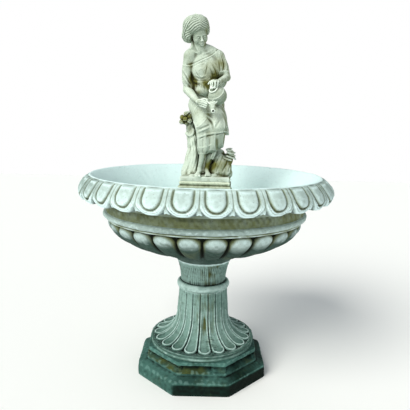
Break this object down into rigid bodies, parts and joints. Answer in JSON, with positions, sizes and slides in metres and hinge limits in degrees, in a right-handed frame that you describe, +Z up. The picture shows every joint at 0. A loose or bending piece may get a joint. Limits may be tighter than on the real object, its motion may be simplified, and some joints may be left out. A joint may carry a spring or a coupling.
{
  "type": "garden fountain",
  "caption": "Cast stone garden fountain: octagonal plinth, fluted pedestal, gadrooned basin with an egg and dart rim, and a seated water carrier on a square pedestal.",
  "frame": {"origin": "centre of the octagonal plinth's underside, on the ground", "axes": "+Z up; -Y is the front, the side that the seated figure faces; +X is the viewer's right"},
  "size_m": [0.998, 0.9992, 1.4241],
  "materials": {
    "plinth_stone": "damp, dark green cast stone with algae in the recesses",
    "pedestal_stone": "weathered grey-green cast stone, pale on the arrises, brown streaks",
    "basin_stone": "pale mint cast stone with pits and olive dirt in the carving",
    "statue_pedestal_stone": "pale cast stone with olive algae in the mouldings",
    "statue_stone": "pale cream cast stone with olive dirt in the folds"
  },
  "bodies": {
    "root": {"octagonal_plinth": "plinth_stone", "pedestal": "pedestal_stone", "basin": "basin_stone", "statue_pedestal": "statue_pedestal_stone", "statue": "statue_stone"}
  },
  "joints": []
}
